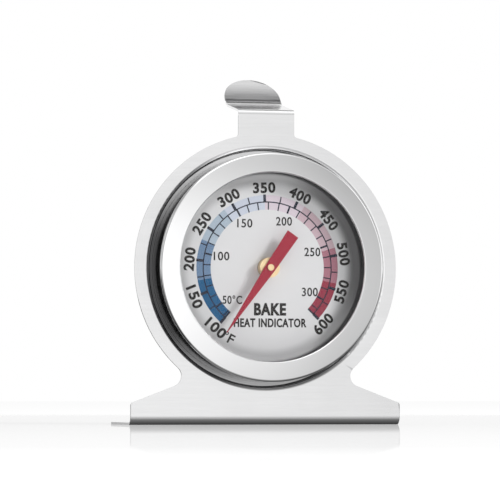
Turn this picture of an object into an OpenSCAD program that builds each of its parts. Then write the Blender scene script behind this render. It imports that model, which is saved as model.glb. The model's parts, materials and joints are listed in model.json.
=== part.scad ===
// Dial oven thermometer: a pressed sheet stand with a foot and a rack hook, and a
// round bimetal dial case clamped in its ring. Millimetres, +Z up, dial facing -Y.
// The origin is on the floor, below the middle of the object's box.

/* [Stand] */
// Thickness of the stand's sheet
sheet = 0.5; // [0.4:0.05:0.8]
// Width of the base and of the foot
base_w = 62; // [56:0.5:80]
// Height of the base's upright side edges
base_side_h = 4.8; // [3.5:0.1:7]
// Slope of the base's shoulders, in degrees
base_slope = 21; // [15:1:28]
// Radius of the corner between side edge and shoulder
base_corner_r = 0.7; // [0.3:0.1:1.5]
// Radius of the neck between shoulder and ring
neck_r = 2.4; // [1:0.1:4]
// Width of the flat ring round the well
ring_w = 2.55; // [2:0.05:5]
// Gap between the ring and the floor, where the ring would end below the dial
ring_lift = 4.85; // [4:0.05:12]
// How far the foot runs back from the front of the plate
foot_depth = 24; // [20:0.5:32]
// Outer radius of the bend between plate and foot
foot_bend_r = 2; // [1:0.1:3]
// Radius of the foot's rear corners
foot_corner_r = 3; // [1:0.5:6]

/* [Hook] */
// Width of the tab and of the hook
tab_w = 12.9; // [10:0.1:16]
// Radius of the fillets where the tab leaves the ring
tab_fillet_r = 0.8; // [0.4:0.1:2]
// Height from the top of the ring to the top of the bend at the front of the hook
tab_h = 5.55; // [4.5:0.05:12]
// Outer radius of the bend at the front of the hook
hook_bend_r = 1.3; // [0.9:0.1:2]
// Slope of the hook's flat strip, rising to the back, in degrees
hook_slope = 10.5; // [0:0.5:15]
// Length of the flat strip
strip_l = 9.1; // [7:0.1:14]
// Angle between the flat strip and the tip that is flicked up
flick_angle = 34.5; // [20:0.5:60]
// Inner radius of the flick
flick_r = 4; // [1.5:0.1:5]
// Straight length between the flick and the round tip
tip_rise = 1.05; // [0.2:0.05:3]

/* [Well in the plate] */
// Gap between the bezel and the well's wall
well_gap = 1.05; // [0.6:0.05:1.5]
// Radius of the well's rolled front edge
well_lip_r = 1; // [0.6:0.1:1.4]
// Depth of the well behind the front of the plate
well_depth = 3.5; // [3:0.1:5]
// Outer radius of the corner at the well's floor
well_corner_r = 0.8; // [0.6:0.05:1]

/* [Case] */
// Outer diameter of the bezel
bezel_d = 51.1; // [49:0.1:53]
// Radius of the bezel's window
window_r = 21.1; // [19:0.1:22]
// How far the bezel stands in front of the plate
bezel_front = 6.3; // [6:0.1:9]
// Thickness of the bezel's sheet
bezel_t = 0.4; // [0.3:0.05:0.5]
// Outer radius of the bezel's rounded edge
bezel_edge_r = 0.9; // [0.5:0.1:1.2]
// Thickness of the case cup's sheet
case_t = 0.4; // [0.3:0.05:0.6]
// Step in radius between the front and the rear of the case cup
case_step = 1.3; // [1:0.1:2]
// How far the case cup reaches behind the front of the plate
case_back = 9.5; // [9:0.1:13]
// Outer radius of the case cup's rear edge
case_edge_r = 1.2; // [0.6:0.1:2]
// Number of vent slots in the back of the case
vents = 8; // [4:2:12]
// Length of a vent slot
vent_l = 5; // [3:0.5:7]
// Width of a vent slot
vent_w = 1.6; // [1:0.1:2.4]
// Radius on which the vent slots lie
vent_ring_r = 16.5; // [15:0.5:18]
// Thickness of the clamp ring behind the stand
clamp_t = 0.8; // [0.5:0.1:1.2]
// Height of the clamp ring's collar
clamp_collar = 1.7; // [1:0.1:2.5]

/* [Lens and dial] */
// Thickness of the lens
lens_t = 1; // [0.8:0.1:1.2]
// Thickness of the gasket in front of the lens
gasket_t = 0.3; // [0.2:0.05:0.4]
// Thickness of the dial's sheet
dial_t = 0.4; // [0.3:0.05:0.5]
// Height of the dial's face in front of the plate
dial_face = 0.7; // [0.4:0.1:1]
// Radius of the cove where the dial's rim curves up
cove_r = 1.7; // [1:0.1:2.2]

/* [Movement] */
// Diameter of the spindle
spindle_d = 1; // [0.8:0.1:1.2]
// Diameter of the front bush's boss on the dial
boss_d = 4.5; // [4:0.1:6]
// Height of that boss above the dial's face
boss_h = 2.4; // [2:0.1:2.5]
// Thickness of the bridge's sheet
bridge_t = 0.8; // [0.5:0.1:1]
// Width of the bridge
bridge_w = 8; // [6:0.5:10]
// Distance between the outer faces of the bridge's legs
bridge_span = 31.6; // [31:0.2:33]
// Length of each of the bridge's feet
bridge_foot = 5; // [4:0.2:5.4]
// Radius of a rivet's shank
rivet_r = 0.9; // [0.6:0.1:1.1]
// Thickness of the bimetal strip
strip_t = 0.35; // [0.25:0.05:0.45]
// Width of the bimetal strip
strip_w = 4; // [2.5:0.1:4.5]
// Distance between the coil's turns
coil_pitch = 2.2; // [1.6:0.1:2.3]
// Half turns in the coil, an odd number
coil_half_turns = 11; // [7:2:11]
// Outer radius of the hub that carries the coil
coil_hub_r = 1.6; // [1.2:0.1:1.8]
// Radius of the post that holds the coil's outer end
anchor_r = 1.4; // [1.3:0.1:1.6]
// Thickness of the wedge that locks the strip in the post
wedge_t = 0.4; // [0.3:0.05:0.5]
// Width across the flats of the rear nut
nut_flats = 6; // [5.5:0.5:8]
// Thickness of the rear nut
nut_t = 1.6; // [1.2:0.1:2.4]

/* [Pointer] */
// Length from the spindle to the pointer's tip
pointer_l = 17.7; // [15:0.1:18]
// Length from the spindle to the end of the tail
tail_l = 9.1; // [6:0.1:12]
// Width of the pointer at the spindle
pointer_w = 2.4; // [2:0.1:3]
// Width of the tail at its end
tail_w = 2.9; // [2.4:0.1:3.6]
// Thickness of the pointer
pointer_t = 0.3; // [0.2:0.05:0.4]
// Angle of the pointer at rest, clockwise from the top
pointer_angle = -145.4; // [-156:0.1:134]

/* [Fits] */
// Gap between pieces that are pressed or clamped together
seat_gap = 0.05; // [0.03:0.01:0.08]
// Radial clearance of the spindle in its bushes
run_gap = 0.05; // [0.03:0.01:0.08]
// End gap between turning and fixed pieces
end_gap = 0.1; // [0.08:0.01:0.15]
// Radial gap of a pressed bore on the spindle
press_gap = 0.01; // [0.01:0.01:0.03]

/* [Hidden] */
$fn = 96;
// Added to a fillet's radius so that its arc crosses the straight edges cleanly
blend = 0.001;

// Small sizes of the movement: thicknesses of the peened end, washers and flanges, room
// behind the dial, how far the coil stands off its hub's end, and the rear bush's blind end
peen_t = 0.2;
peen_w = 0.4;
thrust_washer_t = 0.25;
washer_t = 0.4;
bush_flange_t = 0.8;
bush_flange_w = 1.2;
bush_wall = 1.5;
shank_step = 0.65;
dial_room = 0.4;
coil_lead = 1.3;
bore_past_case = 1.3;
bush_end_t = 0.8;
hub_flange_t = 0.2;
hub_tube_rise = 0.35;
hub_wall = 0.22;
rivet_head_w = 0.6;
rivet_head_t = 0.5;
anchor_head_t = 0.4;

// Front of the plate, placed so that the box is centred on the origin
plate_y = (bezel_front - foot_depth) / 2;

// Radii and heights that follow from the bezel
bezel_r = bezel_d / 2;
bezel_in_r = bezel_r - bezel_t;
well_r = bezel_r + well_gap;
ring_r = well_r + well_lip_r + ring_w;
dial_h = ring_r + ring_lift;
hook_top = dial_h + ring_r + tab_h;

// Centre of the flick as drawn before the hook is turned to its slope
flick_c = [strip_l, hook_bend_r + flick_r];
case_r = bezel_in_r - seat_gap;
case_rear_r = case_r - case_step;
seat_hole_r = case_rear_r + 2 * seat_gap;
pan_r = window_r + bezel_t / 2;

// Heights along the dial's axis, measured forwards from the front of the plate
well_floor_z = -(well_depth - sheet);
gasket_front_z = bezel_front - bezel_t;
lens_front_z = gasket_front_z - gasket_t;
lens_back_z = lens_front_z - lens_t;
cup_top_z = lens_back_z - dial_t;
floor_z = -case_back + case_t;
boss_front_z = dial_face + boss_h;
bridge_front_z = dial_face - dial_t - dial_room;
bridge_back_z = bridge_front_z - bridge_t;
bush_back_z = bridge_back_z - peen_t;
hub_front_z = bush_back_z - end_gap - thrust_washer_t;
hub_back_z = floor_z + bush_flange_t + 4 * end_gap;
coil_back_z = hub_back_z + coil_lead;
bore_end_z = -case_back - bore_past_case;
bush_end_z = bore_end_z - bush_end_t;
pointer_hub_z = boss_front_z + end_gap;
pointer_z = pointer_hub_z + hub_flange_t;
pointer_hub_top_z = pointer_z + pointer_t + hub_tube_rise;

// Radii inside the movement
spindle_r = spindle_d / 2;
boss_r = boss_d / 2;
shank_r = boss_r - shank_step;
bush_barrel_r = spindle_r + bush_wall;
pointer_tube_r = spindle_r + hub_wall;
vent_turn = 180 / vents;

// The bimetal strip is a chain of half circles, each one step wider than the last
coil_step = coil_pitch / 2;
coil_in_r = coil_hub_r + seat_gap;
coil_end_r = coil_in_r + (coil_half_turns - 1) * coil_step;
strip_tail = 3.6;
slot_w = strip_t + wedge_t + 3 * seat_gap;
anchor_x = strip_tail - anchor_r;
anchor_y = -coil_end_r - strip_t - seat_gap + slot_w / 2;

// Outline of the stand: the slope's unit normal, its distance from the dial's centre,
// and the centres of the corner, neck and tab arcs
slope_n = [sin(base_slope), cos(base_slope)];
slope_along = [slope_n.y, -slope_n.x];
slope_d = slope_n * [base_w / 2, base_side_h - dial_h];
corner_x = base_w / 2 - base_corner_r;
corner_c = [corner_x, (slope_d - base_corner_r - slope_n.x * corner_x) / slope_n.y];
neck_off = slope_d + neck_r;
neck_c = neck_off * slope_n + sqrt(pow(ring_r + neck_r, 2) - pow(neck_off, 2)) * slope_along;
tab_c_x = tab_w / 2 + tab_fillet_r;
tab_c = [tab_c_x, sqrt(pow(ring_r + tab_fillet_r, 2) - pow(tab_c_x, 2))];

// ---- Helpers ----

// Puts a shape drawn as seen from the front, z towards the reader, on the dial's axis
module on_dial() {
    translate([0, plate_y, dial_h]) rotate([90, 0, 0]) children();
}

// Extrudes a side view, drawn with y back and z up, evenly to both sides
module across(width) {
    rotate([90, 0, 90]) linear_extrude(width, center = true) children();
}

// A flat ring round the dial's axis
module ring(r_in, r_out, z_from, z_to) {
    translate([0, 0, z_from]) linear_extrude(z_to - z_from) difference() {
        circle(r_out);
        circle(r_in);
    }
}

// A round bar on the dial's axis
module bar(r, z_from, z_to) {
    translate([0, 0, z_from]) cylinder(r = r, h = z_to - z_from);
}

// A rectangle from its two corners
module box2d(x_from, x_to, y_from, y_to) {
    translate([x_from, y_from]) square([x_to - x_from, y_to - y_from]);
}

// A bent strip seen from its edge: a ring cut to the angles between from and to
module bend2d(r_in, r_out, from, to) {
    far = 2 * r_out;
    intersection() {
        difference() {
            circle(r_out);
            if (r_in > 0) circle(r_in);
        }
        rotate(from) box2d(-far, far, 0, far);
        rotate(to) box2d(-far, far, -far, 0);
    }
}

// ---- Stand ----

// One half of the base below the ring
module base_half() {
    difference() {
        polygon([
            [0, foot_bend_r - dial_h],
            [base_w / 2, foot_bend_r - dial_h],
            [base_w / 2, corner_c.y],
            corner_c + base_corner_r * slope_n,
            neck_c - neck_r * slope_n,
            neck_c,
            neck_c * ring_r / (ring_r + neck_r),
            [0, 0]
        ]);
        translate(neck_c) circle(neck_r + blend);
    }
    translate(corner_c) circle(base_corner_r + blend);
}

// One half of the tab above the ring
module tab_half() {
    tab_end = hook_top - hook_bend_r - dial_h;
    difference() {
        polygon([
            [0, 0],
            tab_c * ring_r / (ring_r + tab_fillet_r),
            tab_c,
            [tab_w / 2, tab_c.y],
            [tab_w / 2, tab_end],
            [0, tab_end]
        ]);
        translate(tab_c) circle(tab_fillet_r + blend);
    }
}

module plate_outline() {
    circle(ring_r);
    for (side = [0, 1]) mirror([side, 0]) {
        base_half();
        tab_half();
    }
}

// Edge view of the well: rolled lip, wall, corner and floor, drawn as radius and height
module well_profile() {
    wall_x = well_r + sheet;
    corner_z = well_corner_r - well_depth;
    translate([well_r + well_lip_r, -well_lip_r])
        bend2d(well_lip_r - sheet, well_lip_r, 90, 180);
    box2d(well_r, wall_x, corner_z, -well_lip_r);
    translate([wall_x - well_corner_r, corner_z])
        bend2d(well_corner_r - sheet, well_corner_r, -90, 0);
    box2d(seat_hole_r, wall_x - well_corner_r, -well_depth, well_floor_z);
}

// Plan of the foot behind its bend, with rounded rear corners
module foot_plan() {
    half = base_w / 2;
    front_y = plate_y + foot_bend_r;
    back_y = plate_y + foot_depth;
    box2d(-half, half, front_y, back_y - foot_corner_r);
    box2d(foot_corner_r - half, half - foot_corner_r, front_y, back_y);
    for (side = [-1, 1])
        translate([side * (half - foot_corner_r), back_y - foot_corner_r]) circle(foot_corner_r);
}

module foot() {
    linear_extrude(sheet) foot_plan();
    across(base_w) translate([plate_y + foot_bend_r, foot_bend_r])
        bend2d(foot_bend_r - sheet, foot_bend_r, 180, 270);
}

// Points along an arc about the origin
function arc(r, from, to, steps = 12) =
    [for (i = [0 : steps]) let (a = from + (to - from) * i / steps) r * [cos(a), sin(a)]];

function turned(points, a) = [for (p = points) [p.x * cos(a) - p.y * sin(a), p.x * sin(a) + p.y * cos(a)]];
function moved(points, by) = [for (p = points) p + by];

// Edge view of the hook about the centre of its front bend: bend, strip, flick and tip
module hook_profile() {
    end = flick_angle - 90;
    tip = (tip_rise + tab_w / 2) * [cos(flick_angle), sin(flick_angle)];
    side = [cos(end), sin(end)];
    flick = concat(
        arc(flick_r, -90, end),
        [tip + flick_r * side, tip + (flick_r + sheet) * side],
        arc(flick_r + sheet, end, -90)
    );
    polygon(concat(
        arc(hook_bend_r, 180, 90 + hook_slope),
        turned(moved(flick, flick_c), hook_slope),
        arc(hook_bend_r - sheet, 90 + hook_slope, 180)
    ));
}

// What is cut away to make the tip round, standing across the tip
module tip_cutter() {
    translate([0, 0, -flick_r - 2 * sheet]) linear_extrude(3 * sheet) difference() {
        translate([0, tip_rise]) box2d(-tab_w, tab_w, 0, tab_w);
        translate([0, tip_rise]) circle(tab_w / 2 + blend);
    }
}

module hook() {
    translate([0, plate_y + hook_bend_r, hook_top - hook_bend_r]) difference() {
        across(tab_w) hook_profile();
        rotate([hook_slope, 0, 0]) translate([0, flick_c.x, flick_c.y]) rotate([flick_angle, 0, 0])
            tip_cutter();
    }
}

module stand_frame() {
    color("gainsboro") {
        on_dial() {
            translate([0, 0, -sheet]) linear_extrude(sheet) difference() {
                plate_outline();
                circle(well_r + well_lip_r);
            }
            rotate_extrude() well_profile();
        }
        foot();
        hook();
    }
}

// ---- Case ----

module vent_slot() {
    half = (vent_l - vent_w) / 2;
    box2d(-half, half, -vent_w / 2, vent_w / 2);
    for (side = [-1, 1]) translate([side * half, 0]) circle(vent_w / 2);
}

module case_cup() {
    rear_in_r = case_rear_r - case_t;
    edge_z = case_edge_r - case_back;
    color("silver") on_dial() difference() {
        rotate_extrude() {
            box2d(case_r - case_t, case_r, well_floor_z, cup_top_z);
            box2d(rear_in_r, case_r - case_t, well_floor_z, well_floor_z + case_t);
            box2d(rear_in_r, case_rear_r, edge_z, well_floor_z);
            translate([case_rear_r - case_edge_r, edge_z])
                bend2d(case_edge_r - case_t, case_edge_r, -90, 0);
            box2d(0, case_rear_r - case_edge_r, -case_back, floor_z);
        }
        bar(bush_barrel_r + seat_gap, -case_back - 1, floor_z + 1);
        for (side = [-1, 1]) translate([side * rivet_x(), 0, 0])
            bar(rivet_r + seat_gap, -case_back - 1, floor_z + 1);
        translate([anchor_x, anchor_y, 0])
            bar(rivet_r + seat_gap, -case_back - 1, floor_z + 1);
        translate([0, 0, -case_back - 1]) linear_extrude(case_t + 2)
            for (i = [0 : vents - 1]) rotate(vent_turn * (2 * i + 1))
                translate([vent_ring_r, 0]) rotate(90) vent_slot();
    }
}

module clamp_ring() {
    in_r = case_rear_r + seat_gap;
    back_z = -well_depth - clamp_t;
    color("silver") on_dial() {
        ring(in_r, well_r - seat_gap, back_z, -well_depth);
        ring(in_r, in_r + clamp_t / 2, back_z - clamp_collar, back_z);
    }
}

module bezel() {
    lip_r = bezel_t;
    edge_x = bezel_r - bezel_edge_r;
    edge_z = bezel_front - bezel_edge_r;
    color("whitesmoke") on_dial() rotate_extrude() {
        translate([window_r + lip_r, gasket_front_z]) bend2d(0, lip_r, 90, 180);
        box2d(window_r, window_r + lip_r, lens_front_z + seat_gap, gasket_front_z);
        box2d(window_r + lip_r, edge_x, gasket_front_z, bezel_front);
        translate([edge_x, edge_z]) bend2d(bezel_edge_r - bezel_t, bezel_edge_r, 0, 90);
        box2d(bezel_in_r, bezel_r, well_floor_z + 4 * seat_gap, edge_z);
    }
}

module lens_gasket() {
    inner = window_r + bezel_t + 2 * seat_gap;
    color("dimgray") on_dial()
        ring(inner, bezel_r - bezel_edge_r, lens_front_z, gasket_front_z);
}

module lens() {
    color("lightcyan", 0.35) on_dial() bar(case_r, lens_back_z, lens_front_z);
}

module dial_plate() {
    wall_x = pan_r + dial_t;
    cove_z = dial_face + cove_r;
    color("white") on_dial() rotate_extrude() {
        box2d(boss_r + seat_gap, pan_r - cove_r, dial_face - dial_t, dial_face);
        translate([pan_r - cove_r, cove_z]) bend2d(cove_r, cove_r + dial_t, -90, 0);
        box2d(pan_r, wall_x, cove_z, cup_top_z);
        box2d(pan_r, case_r, cup_top_z, lens_back_z);
    }
}

// ---- Movement ----

// Middle of the bridge's feet, where the rivets go
function rivet_x() = bridge_span / 2 + (bridge_foot - bridge_t) / 2;

module front_bush() {
    color("goldenrod") on_dial() difference() {
        union() {
            bar(boss_r, bridge_front_z, boss_front_z);
            bar(shank_r, bridge_back_z, bridge_front_z);
            bar(shank_r + peen_w, bush_back_z, bridge_back_z);
        }
        bar(spindle_r + run_gap, bush_back_z - 1, boss_front_z + 1);
    }
}

module movement_bridge() {
    half = bridge_span / 2;
    color("darkgray") on_dial() difference() {
        translate([0, 0, bridge_front_z]) rotate([90, 0, 0])
            linear_extrude(bridge_w, center = true) {
                drop = bridge_front_z - floor_z;
                box2d(-half, half, -bridge_t, 0);
                for (side = [0, 1]) mirror([side, 0]) {
                    box2d(half - bridge_t, half, -drop, -bridge_t);
                    box2d(half, half - bridge_t + bridge_foot, -drop, bridge_t - drop);
                }
            }
        bar(shank_r + seat_gap, bridge_back_z - 1, bridge_front_z + 1);
        for (side = [-1, 1]) translate([side * rivet_x(), 0, 0])
            bar(rivet_r + seat_gap, floor_z - 1, floor_z + bridge_t + 1);
    }
}

module bridge_rivets() {
    head_r = rivet_r + rivet_head_w;
    foot_top_z = floor_z + bridge_t;
    color("gray") on_dial() for (side = [-1, 1]) translate([side * rivet_x(), 0, 0]) {
        bar(head_r, -case_back - rivet_head_t, -case_back);
        bar(rivet_r, -case_back, foot_top_z);
        bar(head_r, foot_top_z, foot_top_z + rivet_head_t);
    }
}

module rear_bush() {
    color("goldenrod") on_dial() difference() {
        union() {
            bar(bush_barrel_r + bush_flange_w, floor_z, floor_z + bush_flange_t);
            bar(bush_barrel_r, bush_end_z, floor_z);
        }
        bar(spindle_r + run_gap, bore_end_z, floor_z + bush_flange_t + 1);
    }
}

module lock_washer() {
    color("gray") on_dial()
        ring(bush_barrel_r + seat_gap, nut_flats / 2 + peen_w, -case_back - washer_t, -case_back);
}

module rear_nut() {
    front_z = -case_back - washer_t;
    color("goldenrod") on_dial() translate([0, 0, front_z - nut_t])
        linear_extrude(nut_t) difference() {
            circle(r = nut_flats / 2 / cos(30), $fn = 6);
            circle(bush_barrel_r + seat_gap);
        }
}

module coil_anchor() {
    top_z = coil_back_z + strip_w + 4 * seat_gap;
    color("goldenrod") on_dial() difference() {
        translate([anchor_x, anchor_y, 0]) {
            bar(anchor_r, floor_z, top_z);
            bar(rivet_r, -case_back, floor_z);
            bar(anchor_r, -case_back - anchor_head_t, -case_back);
        }
        translate([anchor_x, anchor_y, (coil_back_z - 2 * seat_gap + top_z + 1) / 2])
            cube([3 * anchor_r, slot_w, top_z + 1 - coil_back_z + 2 * seat_gap], center = true);
    }
}

module anchor_wedge() {
    color("tan") on_dial()
        translate([anchor_x - anchor_r, -coil_end_r + seat_gap, coil_back_z])
            cube([2 * anchor_r, wedge_t, strip_w]);
}

// Seen from the front the strip winds out from the hub and ends in a straight tail
module bimetal_coil() {
    color("peru") on_dial() translate([0, 0, coil_back_z]) {
        rotate(90) for (k = [0 : coil_half_turns - 1])
            translate([k % 2 * coil_step, 0]) rotate(k % 2 * 180)
                rotate_extrude(angle = 180)
                    translate([coil_in_r + k * coil_step, 0]) square([strip_t, strip_w]);
        translate([0, -coil_end_r - strip_t]) cube([strip_tail, strip_t, strip_w]);
    }
}

module coil_hub() {
    color("goldenrod") on_dial()
        ring(spindle_r + press_gap, coil_hub_r, hub_back_z, hub_front_z);
}

module thrust_washer() {
    color("gray") on_dial()
        ring(spindle_r + press_gap, coil_hub_r, hub_front_z, hub_front_z + thrust_washer_t);
}

module spindle() {
    color("silver") on_dial()
        bar(spindle_r, bore_end_z + 2 * end_gap, pointer_hub_top_z - end_gap);
}

// ---- Pointer ----

module pointer_hub() {
    color("goldenrod") on_dial() {
        ring(spindle_r + press_gap, pointer_w / 2, pointer_hub_z, pointer_z);
        ring(spindle_r + press_gap, pointer_tube_r, pointer_z, pointer_hub_top_z);
    }
}

module pointer() {
    tip_half = 0.08;
    color("crimson") on_dial() rotate(-pointer_angle) translate([0, 0, pointer_z])
        linear_extrude(pointer_t) difference() {
            polygon([
                [-tail_w / 2, -tail_l], [tail_w / 2, -tail_l],
                [pointer_w / 2, 0], [tip_half, pointer_l],
                [-tip_half, pointer_l], [-pointer_w / 2, 0]
            ]);
            circle(pointer_tube_r + press_gap);
        }
}

stand_frame();
case_cup();
clamp_ring();
bezel();
lens_gasket();
lens();
dial_plate();
front_bush();
movement_bridge();
bridge_rivets();
rear_bush();
lock_washer();
rear_nut();
coil_anchor();
anchor_wedge();
bimetal_coil();
coil_hub();
thrust_washer();
spindle();
pointer_hub();
pointer();
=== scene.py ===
"""Looks for the dial oven thermometer, built round its fixed frame. Metres, dial facing -Y."""

import json
import math

import bmesh
import bpy
from mathutils import Matrix, Vector


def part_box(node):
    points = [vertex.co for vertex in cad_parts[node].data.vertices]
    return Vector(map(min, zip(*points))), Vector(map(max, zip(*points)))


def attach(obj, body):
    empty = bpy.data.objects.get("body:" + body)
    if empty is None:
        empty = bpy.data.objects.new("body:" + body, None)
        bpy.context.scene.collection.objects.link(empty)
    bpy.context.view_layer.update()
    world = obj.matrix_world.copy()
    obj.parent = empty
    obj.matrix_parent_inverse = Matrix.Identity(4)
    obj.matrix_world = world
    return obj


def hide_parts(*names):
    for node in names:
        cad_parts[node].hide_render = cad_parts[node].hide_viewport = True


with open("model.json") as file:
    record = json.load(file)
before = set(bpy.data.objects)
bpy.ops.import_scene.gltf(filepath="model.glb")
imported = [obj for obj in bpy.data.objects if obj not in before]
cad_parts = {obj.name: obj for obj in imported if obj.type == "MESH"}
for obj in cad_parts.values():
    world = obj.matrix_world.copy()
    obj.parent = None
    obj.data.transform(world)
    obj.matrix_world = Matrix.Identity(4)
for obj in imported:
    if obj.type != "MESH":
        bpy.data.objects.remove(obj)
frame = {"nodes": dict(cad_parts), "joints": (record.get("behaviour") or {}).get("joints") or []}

bl_info = {
    "name": "Dial oven thermometer",
    "version": (1, 0, 0),
    "blender": (4, 5, 0),
    "location": "3D View > Sidebar > Thermometer",
    "description": "Builds the looks of a stand-and-hang oven thermometer",
    "category": "Object",
}

MM = 0.001
# The dial's axis: its middle on the front of the plate, and the turn that lays a drawing
# made in X and Y, with Z towards the reader, against the plate
AXIS = Vector(frame["joints"][0]["pos_m"])
PLATE_Y = AXIS.y
DIAL_H = AXIS.z
ON_DIAL = Matrix.Translation(AXIS) @ Matrix.Rotation(math.radians(90), 4, "X")
SEGMENTS = 192
# Thickness of the pressed sheets of the bezel and the dial, in millimetres
PRESSED_T = 0.4
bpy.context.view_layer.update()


def radius_of(node):
    """Outer radius of a round CAD node, in metres."""
    low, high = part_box(node)
    return (high[0] - low[0]) / 2


def front_of(node):
    """How far a CAD node stands in front of the plate, in metres."""
    return PLATE_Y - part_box(node)[0][1]


def back_of(node):
    """Where a CAD node ends along the dial's axis, in metres, negative behind the plate."""
    return PLATE_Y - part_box(node)[1][1]


def dial_face():
    """How far the dial's painted face stands in front of the plate, in metres."""
    return back_of("dial_plate") + PRESSED_T * MM


# ---------------------------------------------------------------- settings


def length(name, description, default_mm):
    """A length property, given in millimetres."""
    return bpy.props.FloatProperty(
        name=name, description=description, default=default_mm * MM, min=0.0, unit="LENGTH", precision=5
    )


def colour(name, description, default):
    """A colour property."""
    return bpy.props.FloatVectorProperty(
        name=name, description=description, default=default, size=3, min=0.0, max=1.0, subtype="COLOR"
    )


def angle(name, description, default_deg):
    """An angle property, given in degrees."""
    return bpy.props.FloatProperty(
        name=name, description=description, default=math.radians(default_deg), unit="ROTATION"
    )


class MetalSettings(bpy.types.PropertyGroup):
    """Finishes of the stand, the case and the brass."""

    edge: length("Sheet edge", "Radius to which the sheet's edges are broken", 0.09)
    steel: colour("Steel", "Colour of the stainless sheet", (0.88, 0.88, 0.885))
    polished: colour("Polished steel", "Colour of the bezel", (0.9, 0.9, 0.905))
    brass: colour("Brass", "Colour of the turned brass", (0.92, 0.72, 0.44))
    brushing: bpy.props.FloatProperty(
        name="Brushing", description="Depth of the brush marks on the sheet", default=0.25,
        min=0.0, max=1.0, subtype="FACTOR",
    )


class DialSettings(bpy.types.PropertyGroup):
    """Sizes and colours of the dial and its print."""

    window_r: length("Window", "Radius of the bezel's window", 21.1)
    crown: angle("Bezel crown", "Slope of the bezel's face towards its rim", 7)
    pan_r: length("Pan", "Radius of the dial's raised rim", 21.3)
    cove_r: length("Cove", "Radius of the curve from the dial's face to its rim", 1.7)
    line_r: length("Scale line", "Radius of the line between the two scales", 14.75)
    outer_r: length("Outer band", "Outer radius of the Fahrenheit band", 16.3)
    inner_r: length("Inner band", "Inner radius of the Celsius band", 13.05)
    figure_r: length("Figures", "Radius of the middle of the Fahrenheit figures", 17.95)
    figure_h: length("Figure height", "Height of the Fahrenheit figures", 2.45)
    figure_w: length("Figure width", "Width of three Fahrenheit figures", 5.2)
    ink_t: length("Ink", "Thickness of the print", 0.015)
    paint: colour("Paint", "Colour of the dial's paint", (0.7, 0.7, 0.71))
    ink: colour("Ink", "Colour of the lettering", (0.022, 0.02, 0.02))
    scale_ink: colour("Scale ink", "Colour of the scale's lines", (0.025, 0.028, 0.045))
    pointer: colour("Pointer", "Colour of the pointer's paint", (0.31, 0.022, 0.042))
    low: angle("Low end", "Angle of 100 F, clockwise from the top", -138.8)
    high: angle("High end", "Angle of 600 F, clockwise from the top", 134.0)


class StageSettings(bpy.types.PropertyGroup):
    """Camera and studio."""

    lens: bpy.props.FloatProperty(
        name="Lens", description="Focal length of the camera", default=245.0, min=20.0, unit="CAMERA"
    )
    azimuth: angle("Azimuth", "How far the camera stands to the right of the dial's axis", -14)
    distance: length("Distance", "From the camera to the front of the plate", 760)
    eye: length("Eye height", "Height of the camera above the floor", 6.5)
    aim: bpy.props.FloatVectorProperty(
        name="Aim", description="Point that the camera looks at", default=(-0.0038, PLATE_Y, 0.039), size=3,
        subtype="TRANSLATION", unit="LENGTH", precision=5,
    )


# ---------------------------------------------------------------- mesh helpers


def add_piece(name, bm, material, body, smooth_deg=35, replaces=(), matrix=None):
    """Makes a finished piece from a bmesh and hangs it on its body."""
    if matrix is not None:
        bm.transform(matrix)
    mesh = bpy.data.meshes.new(name)
    bm.to_mesh(mesh)
    bm.free()
    mesh.materials.append(material)
    piece = bpy.data.objects.new(name, mesh)
    bpy.context.scene.collection.objects.link(piece)
    mesh.shade_smooth()
    mesh.set_sharp_from_angle(angle=math.radians(smooth_deg))
    even = piece.modifiers.new("Even shading", "WEIGHTED_NORMAL")
    even.weight = 100
    even.keep_sharp = True
    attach(piece, body)
    if replaces:
        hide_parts(*replaces)
    return piece


def sharp_edges(bm, over_deg):
    """The edges where two faces meet at more than that angle."""
    limit = math.radians(over_deg)
    return [e for e in bm.edges if len(e.link_faces) == 2 and e.calc_face_angle() > limit]


def break_edges(bm, radius, over_deg=30, segments=2, beyond=0.0):
    """Rounds the sharp edges of a shape that lie beyond a distance from the dial's axis."""
    edges = [e for e in sharp_edges(bm, over_deg) if all(axis_distance(v.co) >= beyond for v in e.verts)]
    bmesh.ops.bevel(
        bm, geom=edges, offset=radius, offset_type="OFFSET", affect="EDGES",
        segments=segments, profile=0.5, material=-1, clamp_overlap=True,
    )


def axis_distance(point):
    """Distance from the dial's axis."""
    return math.hypot(point.x - AXIS.x, point.z - AXIS.z)


def turned(profile, closed=True, edge=0.0, steps=SEGMENTS):
    """A turned shape: a profile of (radius, height) in millimetres, spun round the dial's axis."""
    bm = bmesh.new()
    verts = [bm.verts.new((r * MM, 0, z * MM)) for r, z in profile]
    pairs = list(zip(verts, verts[1:]))
    if closed:
        pairs.append((verts[-1], verts[0]))
    edges = [bm.edges.new(p) for p in pairs]
    bmesh.ops.spin(
        bm, geom=verts + edges, cent=(0, 0, 0), axis=(0, 0, 1), angle=2 * math.pi, steps=steps,
        use_merge=True, use_duplicate=False,
    )
    bmesh.ops.remove_doubles(bm, verts=bm.verts[:], dist=1e-7)
    bmesh.ops.recalc_face_normals(bm, faces=bm.faces[:])
    if edge:
        break_edges(bm, edge * MM, over_deg=25, segments=3)
    return bm


def arc_points(centre, r, start, end, steps):
    """Points of a profile's round stretch, angles in degrees."""
    turns = [math.radians(start + (end - start) * i / steps) for i in range(steps + 1)]
    return [(centre[0] + r * math.cos(t), centre[1] + r * math.sin(t)) for t in turns]


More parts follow.
